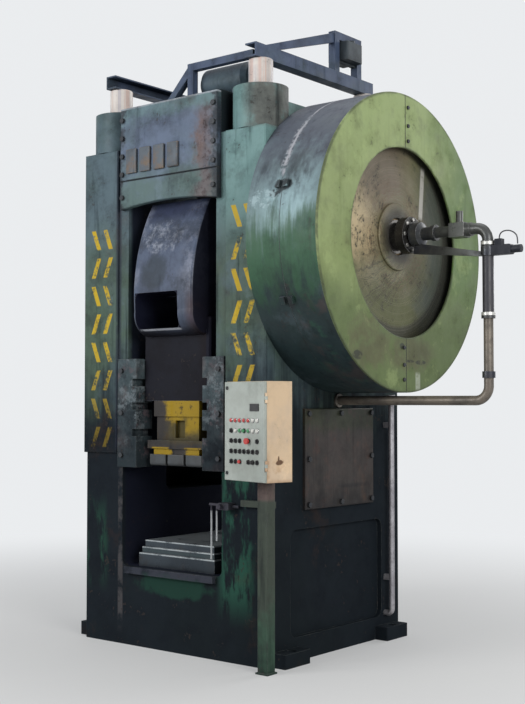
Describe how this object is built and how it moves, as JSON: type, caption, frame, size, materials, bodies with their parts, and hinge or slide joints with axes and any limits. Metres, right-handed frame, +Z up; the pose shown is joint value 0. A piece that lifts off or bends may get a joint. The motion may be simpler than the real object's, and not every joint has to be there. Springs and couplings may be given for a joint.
{
  "type": "hot forging press",
  "caption": "Hot forging press: one-piece frame, guided ram on an eccentric shaft, guarded flywheel with clutch and brake, rear motor, stepped bolster, control box on a post.",
  "frame": {"origin": "centre of the frame's footprint on the floor", "axes": "+Z up, +X to the flywheel side, +Y to the rear, ram at top dead centre"},
  "size_m": [3.285, 2.5289, 4.234],
  "materials": {
    "frame_paint": "worn paint",
    "cover_paint": "worn paint",
    "bolt_steel": "oiled",
    "rod_steel": "satin",
    "white_paint": "worn paint",
    "gib_paint": "worn paint",
    "die_steel": "polished and stained",
    "guard_green": "worn paint",
    "ring_green": "worn paint",
    "bronze": "satin",
    "dark_paint": "worn paint",
    "motor_paint": "worn paint",
    "belt_rubber": "matte",
    "hose_rubber": "matte",
    "galvanised": "galvanised",
    "side_paint": "rusty paint",
    "box_paint": "worn paint",
    "post_paint": "worn paint",
    "iron": "machined and oiled",
    "ram_steel": "worn",
    "holder_yellow": "worn paint",
    "friction_lining": "matte",
    "black_plastic": "satin",
    "lamp_plastic": "gloss",
    "red_plastic": "gloss",
    "green_plastic": "gloss",
    "lock_chrome": "polished"
  },
  "bodies": {
    "frame": {"press_frame": "frame_paint", "crown_cover_upper": "cover_paint", "crown_cover_lower": "cover_paint", "frame_bolts": "bolt_steel", "tie_rods": "rod_steel", "tie_rod_nuts": "rod_steel", "tie_rod_caps": "white_paint", "ram_gibs": "gib_paint", "bolster": "die_steel", "guard_drum": "guard_green", "guard_shell": "guard_green", "guard_ring": "ring_green", "guard_lugs": "guard_green", "shaft_bushes": "bronze", "brake_housing": "guard_green", "motor": "motor_paint", "motor_bracket": "frame_paint", "belt_guard": "guard_green", "vee_belts": "belt_rubber", "top_beams": "dark_paint", "top_frame": "dark_paint", "lube_tank": "dark_paint", "air_tank": "motor_paint", "rotary_union": "rod_steel", "air_fittings": "dark_paint", "solenoid_valve": "rod_steel", "air_hose": "hose_rubber", "air_pipe": "galvanised", "side_covers": "side_paint", "oil_pipe": "galvanised", "control_box": "box_paint", "box_post": "post_paint", "spray_valve": "dark_paint"},
    "crank": {"eccentric_shaft": "ram_steel", "clutch_disc": "friction_lining", "brake_disc": "friction_lining", "union_spindle": "rod_steel"},
    "flywheel_group": {"flywheel": "iron", "flywheel_bush": "bronze", "clutch_plate": "iron", "clutch_cover": "iron"},
    "piston": {"clutch_piston": "iron"},
    "rotor": {"motor_rotor": "iron"},
    "connecting_rod": {"pitman": "iron", "pitman_cap": "iron", "pitman_bolts": "bolt_steel"},
    "slide": {"ram": "ram_steel", "wrist_pin": "rod_steel", "upper_die_holder": "holder_yellow", "die_clamps": "die_steel"},
    "ejector": {"ejector_pin": "die_steel"},
    "door": {"control_door": "box_paint", "black_controls": "black_plastic", "door_lamps": "lamp_plastic"},
    "emergency_stop": {"emergency_stop": "red_plastic"},
    "start_button": {"start_button": "green_plastic"},
    "stop_button": {"stop_button": "red_plastic"},
    "mode_selector": {"mode_selector": "black_plastic"},
    "lower_lock": {"lower_lock": "lock_chrome"},
    "upper_lock": {"upper_lock": "lock_chrome"}
  },
  "joints": [
    {"name": "crank_turn", "type": "hinge", "parent": "frame", "child": "crank", "pos_m": [0, 0, 2.712], "axis": [-1, 0, 0], "range_deg": [0, 180]},
    {"name": "pitman_turn", "type": "hinge", "parent": "crank", "child": "connecting_rod", "pos_m": [0, 0, 2.837], "axis": [-1, 0, 0], "range_deg": [-180, 0]},
    {"name": "ram_slide", "type": "slide", "parent": "frame", "child": "slide", "axis": [0, 0, 1], "range_m": [-0.25, 0]},
    {"name": "flywheel_turn", "type": "hinge", "parent": "frame", "child": "flywheel_group", "pos_m": [1.1, 0, 2.712], "axis": [1, 0, 0], "continuous": true},
    {"name": "motor_turn", "type": "hinge", "parent": "frame", "child": "rotor", "pos_m": [0.95, 1.25, 3.05], "axis": [1, 0, 0], "continuous": true},
    {"name": "clutch_slide", "type": "slide", "parent": "flywheel_group", "child": "piston", "axis": [-1, 0, 0], "range_m": [0, 0.004], "stiffness_N_per_m": 100000},
    {"name": "ejector_slide", "type": "slide", "parent": "frame", "child": "ejector", "axis": [0, 0, 1], "range_m": [0, 0.06]},
    {"name": "door_hinge", "type": "hinge", "parent": "frame", "child": "door", "pos_m": [1.06908, -1.07093, 1.467], "axis": [0, 0, 1], "range_deg": [0, 110]},
    {"name": "emergency_stop_push", "type": "slide", "parent": "door", "child": "emergency_stop", "axis": [0.2334, 0.9724, 0], "range_m": [0, 0.004], "stiffness_N_per_m": 600},
    {"name": "start_push", "type": "slide", "parent": "door", "child": "start_button", "axis": [0.2334, 0.9724, 0], "range_m": [0, 0.004], "stiffness_N_per_m": 600},
    {"name": "stop_push", "type": "slide", "parent": "door", "child": "stop_button", "axis": [0.2334, 0.9724, 0], "range_m": [0, 0.004], "stiffness_N_per_m": 600},
    {"name": "mode_turn", "type": "hinge", "parent": "door", "child": "mode_selector", "pos_m": [0.952, -1.05311, 1.285], "axis": [-0.2334, -0.9724, 0], "range_deg": [-45, 45]},
    {"name": "lower_lock_turn", "type": "hinge", "parent": "door", "child": "lower_lock", "pos_m": [0.70016, -0.99265, 1.213], "axis": [-0.2334, -0.9724, 0], "range_deg": [0, 90]},
    {"name": "upper_lock_turn", "type": "hinge", "parent": "door", "child": "upper_lock", "pos_m": [0.70016, -0.99265, 1.728], "axis": [-0.2334, -0.9724, 0], "range_deg": [0, 90]}
  ],
  "couplings": [
    {"joint": "pitman_turn", "follows": "crank_turn", "ratio": -1},
    {"joint": "ram_slide", "follows": "crank_turn", "m_per_rad": -0.079577},
    {"joint": "motor_turn", "follows": "flywheel_turn", "ratio": 6.84}
  ]
}
